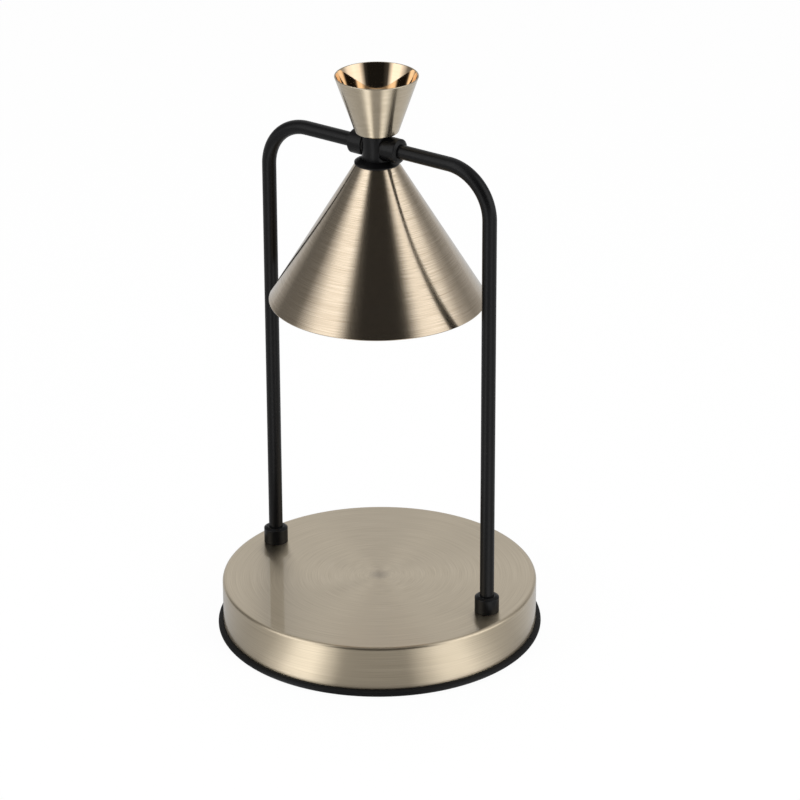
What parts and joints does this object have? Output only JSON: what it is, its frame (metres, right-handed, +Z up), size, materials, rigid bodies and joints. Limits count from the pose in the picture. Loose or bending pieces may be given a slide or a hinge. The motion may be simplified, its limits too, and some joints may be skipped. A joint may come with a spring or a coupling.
{
  "type": "candle warmer lamp",
  "caption": "Candle warmer lamp: weighted round base, two bent tube legs meeting in a tee, a cone shade with a reflector bulb over the candle, and a small open cup on top.",
  "frame": {"origin": "centre of the base at the level of the surface it stands on", "axes": "+Z up; +X along the crossbar towards the right leg; -Y is the front"},
  "size_m": [0.1858, 0.1858, 0.332],
  "materials": {
    "antique_brass": "brushed antique brass plating under clear lacquer",
    "black_powder_coat": "satin black powder coat",
    "black_rubber": "matt black rubber",
    "zinc_steel": "zinc plated steel",
    "black_cover": "matt black painted steel sheet",
    "cast_iron": "as cast",
    "white_moulding": "moulded",
    "white_ceramic": "unglazed steatite",
    "contact_brass": "stamped leaf",
    "black_fibre": "pressed fibre",
    "reflector_glass": "pressed glass with a metal film inside",
    "clear_glass": "clear",
    "lead_sheath": "smooth heat-proof sheath"
  },
  "bodies": {
    "stand": {"ballast_weight": "cast_iron", "base_shell": "antique_brass", "bottom_cover": "black_cover", "cord_gland": "black_rubber", "cover_screws": "zinc_steel", "frame_lead": "lead_sheath", "frame_tube_left": "black_powder_coat", "frame_tube_right": "black_powder_coat", "friction_washer_left": "black_fibre", "friction_washer_right": "black_fibre", "leg_ferrule_left": "black_powder_coat", "leg_ferrule_right": "black_powder_coat", "leg_nipple_left": "zinc_steel", "leg_nipple_right": "zinc_steel", "leg_nut_left": "zinc_steel", "leg_nut_right": "zinc_steel", "leg_washer_left": "zinc_steel", "leg_washer_right": "zinc_steel", "rubber_edge_ring": "black_rubber", "tee_ferrule_left": "black_powder_coat", "tee_ferrule_right": "black_powder_coat", "terminal_block": "white_moulding", "terminal_screws": "zinc_steel"},
    "head": {"tee_body": "black_powder_coat", "cup": "antique_brass", "cup_washer": "zinc_steel", "cup_screw": "zinc_steel", "shade_cap": "black_powder_coat", "shade": "antique_brass", "shade_nipple": "zinc_steel", "holder_bracket": "zinc_steel", "lock_washer": "zinc_steel", "shade_locknut": "zinc_steel", "lampholder": "white_ceramic", "holder_contacts": "contact_brass", "holder_screws": "zinc_steel", "head_lead": "lead_sheath"},
    "bulb": {"bulb_base": "white_ceramic", "bulb_pins": "zinc_steel", "bulb_reflector": "reflector_glass", "bulb_lens": "clear_glass", "bulb_capsule": "clear_glass"}
  },
  "joints": [
    {"name": "head_tilt", "type": "hinge", "parent": "stand", "child": "head", "pos_m": [0, 0, 0.2915], "axis": [1, 0, 0], "range_deg": [-25, 25]},
    {"name": "bulb_twist", "type": "hinge", "parent": "head", "child": "bulb", "pos_m": [0, 0, 0.2531], "axis": [0, 0, 1], "range_deg": [-30, 0]}
  ]
}
